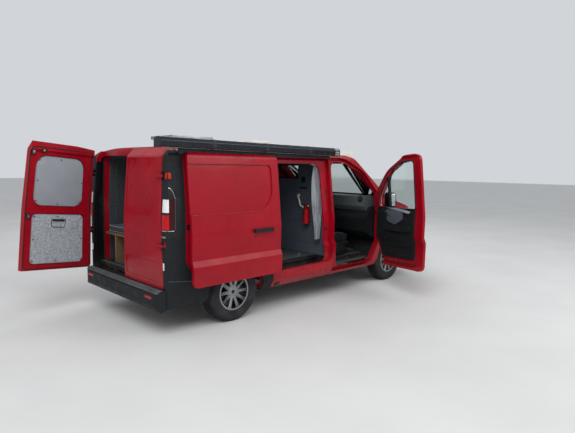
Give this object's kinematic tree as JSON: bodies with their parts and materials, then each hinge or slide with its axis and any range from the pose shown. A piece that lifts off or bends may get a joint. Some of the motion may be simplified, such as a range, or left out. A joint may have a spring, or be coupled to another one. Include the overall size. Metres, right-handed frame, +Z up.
{
  "type": "camper van",
  "caption": "Short panel van fitted out as a camper, with a wound-in awning, hinged front and rear doors, an open sliding side door and steered wheels.",
  "frame": {"origin": "on the floor, under the middle of the box that holds the van with its doors open as stored", "axes": "+X to the van's front, +Y to its left, +Z up"},
  "size_m": [5.8042, 3.1329, 2.095],
  "materials": {
    "body_paint": "gloss",
    "black_trim": "satin",
    "clear_lens": "gloss",
    "red_lens": "gloss",
    "window_glass": "gloss",
    "cast_metal": "matt",
    "dark_metal": "satin",
    "bare_steel": "satin",
    "grey_trim": "matt",
    "grey_panel": "satin",
    "grey_lining": "matt",
    "plywood": "satin",
    "bed_fabric": "matt",
    "curtain_cloth": "matt",
    "red_metal": "gloss",
    "awning_case": "satin",
    "solar_cell": "gloss",
    "cream_plastic": "satin",
    "seat_fabric": "matt",
    "tyre": "matt",
    "rim": "satin"
  },
  "bodies": {
    "van": {"floor_pan": "body_paint", "body_side_left": "body_paint", "body_side_right": "body_paint", "roof_panel": "body_paint", "rear_corners": "black_trim", "front_wings": "body_paint", "front_bumper": "black_trim", "grille": "black_trim", "head_lamps": "clear_lens", "tail_lamps": "red_lens", "cowl": "black_trim", "windscreen": "window_glass", "rear_bumper": "black_trim", "wheel_arches": "black_trim", "engine_block": "cast_metal", "front_suspension": "dark_metal", "drive_shafts": "dark_metal", "rear_axle": "dark_metal", "fuel_tank": "black_trim", "exhaust": "bare_steel", "dashboard": "grey_trim", "bulkhead": "grey_panel", "wall_lining": "grey_lining", "bed_base": "plywood", "mattress": "bed_fabric", "kitchen_unit": "grey_panel", "curtain": "curtain_cloth", "fire_extinguisher": "red_metal", "awning": "awning_case", "solar_panel": "solar_cell", "roof_vent": "cream_plastic", "sliding_door": "body_paint", "slide_gear": "dark_metal", "seat_left": "seat_fabric", "seat_right": "seat_fabric"},
    "front_door_left": {"front_door_left": "body_paint", "front_glass_left": "window_glass", "front_card_left": "black_trim", "mirror_left": "black_trim"},
    "front_door_right": {"front_door_right": "body_paint", "front_glass_right": "window_glass", "front_card_right": "black_trim", "mirror_right": "black_trim"},
    "rear_door_left": {"rear_door_left": "body_paint", "rear_boards_left": "grey_lining"},
    "rear_door_right": {"rear_door_right": "body_paint", "rear_boards_right": "grey_lining"},
    "bonnet": {"bonnet": "body_paint"},
    "steering_wheel": {"steering_wheel": "black_trim"},
    "knuckle_left": {"knuckle_left": "dark_metal"},
    "knuckle_right": {"knuckle_right": "dark_metal"},
    "wheel_front_left": {"tyre_front_left": "tyre", "rim_front_left": "rim"},
    "wheel_rear_left": {"tyre_rear_left": "tyre", "rim_rear_left": "rim"},
    "wheel_front_right": {"tyre_front_right": "tyre", "rim_front_right": "rim"},
    "wheel_rear_right": {"tyre_rear_right": "tyre", "rim_rear_right": "rim"}
  },
  "joints": [
    {"name": "rear_door_left_hinge", "type": "hinge", "parent": "van", "child": "rear_door_left", "pos_m": [-2.038, 1.313, 0.5], "axis": [0.0436, -0.0523, 0.9977], "range_deg": [-98, 82]},
    {"name": "front_door_left_hinge", "type": "hinge", "parent": "van", "child": "front_door_left", "pos_m": [1.61, 1.407, 0.69], "axis": [0, -0.0663, 0.9978], "range_deg": [-68, 0]},
    {"name": "steer_left", "type": "hinge", "parent": "van", "child": "knuckle_left", "pos_m": [1.972, 1.169, 0.2], "axis": [0, -0.1822, 0.9833], "range_deg": [-35, 35]},
    {"name": "wheel_front_left_spin", "type": "hinge", "parent": "knuckle_left", "child": "wheel_front_left", "pos_m": [1.972, 1.237, 0.336], "axis": [0, 1, 0], "continuous": true},
    {"name": "wheel_rear_left_spin", "type": "hinge", "parent": "van", "child": "wheel_rear_left", "pos_m": [-1.126, 1.237, 0.336], "axis": [0, 1, 0], "continuous": true},
    {"name": "rear_door_right_hinge", "type": "hinge", "parent": "van", "child": "rear_door_right", "pos_m": [-2.038, -0.459, 0.5], "axis": [0.0436, 0.0523, 0.9977], "range_deg": [0, 160]},
    {"name": "front_door_right_hinge", "type": "hinge", "parent": "van", "child": "front_door_right", "pos_m": [1.61, -0.553, 0.69], "axis": [0, 0.0663, 0.9978], "range_deg": [-68, 0]},
    {"name": "steer_right", "type": "hinge", "parent": "van", "child": "knuckle_right", "pos_m": [1.972, -0.315, 0.2], "axis": [0, 0.1822, 0.9833], "range_deg": [-35, 35]},
    {"name": "wheel_front_right_spin", "type": "hinge", "parent": "knuckle_right", "child": "wheel_front_right", "pos_m": [1.972, -0.383, 0.336], "axis": [0, 1, 0], "continuous": true},
    {"name": "wheel_rear_right_spin", "type": "hinge", "parent": "van", "child": "wheel_rear_right", "pos_m": [-1.126, -0.383, 0.336], "axis": [0, 1, 0], "continuous": true},
    {"name": "bonnet_hinge", "type": "hinge", "parent": "van", "child": "bonnet", "pos_m": [2.057, 0.427, 1.26216], "axis": [0, -1, 0], "range_deg": [0, 55]},
    {"name": "steering_turn", "type": "hinge", "parent": "van", "child": "steering_wheel", "pos_m": [1.328, 0.837, 1.02], "axis": [-0.8829, 0, 0.4695], "range_deg": [-525, 525]}
  ],
  "couplings": [
    {"joint": "steer_right", "follows": "steer_left", "ratio": 1},
    {"joint": "steering_turn", "follows": "steer_left", "ratio": 15}
  ]
}
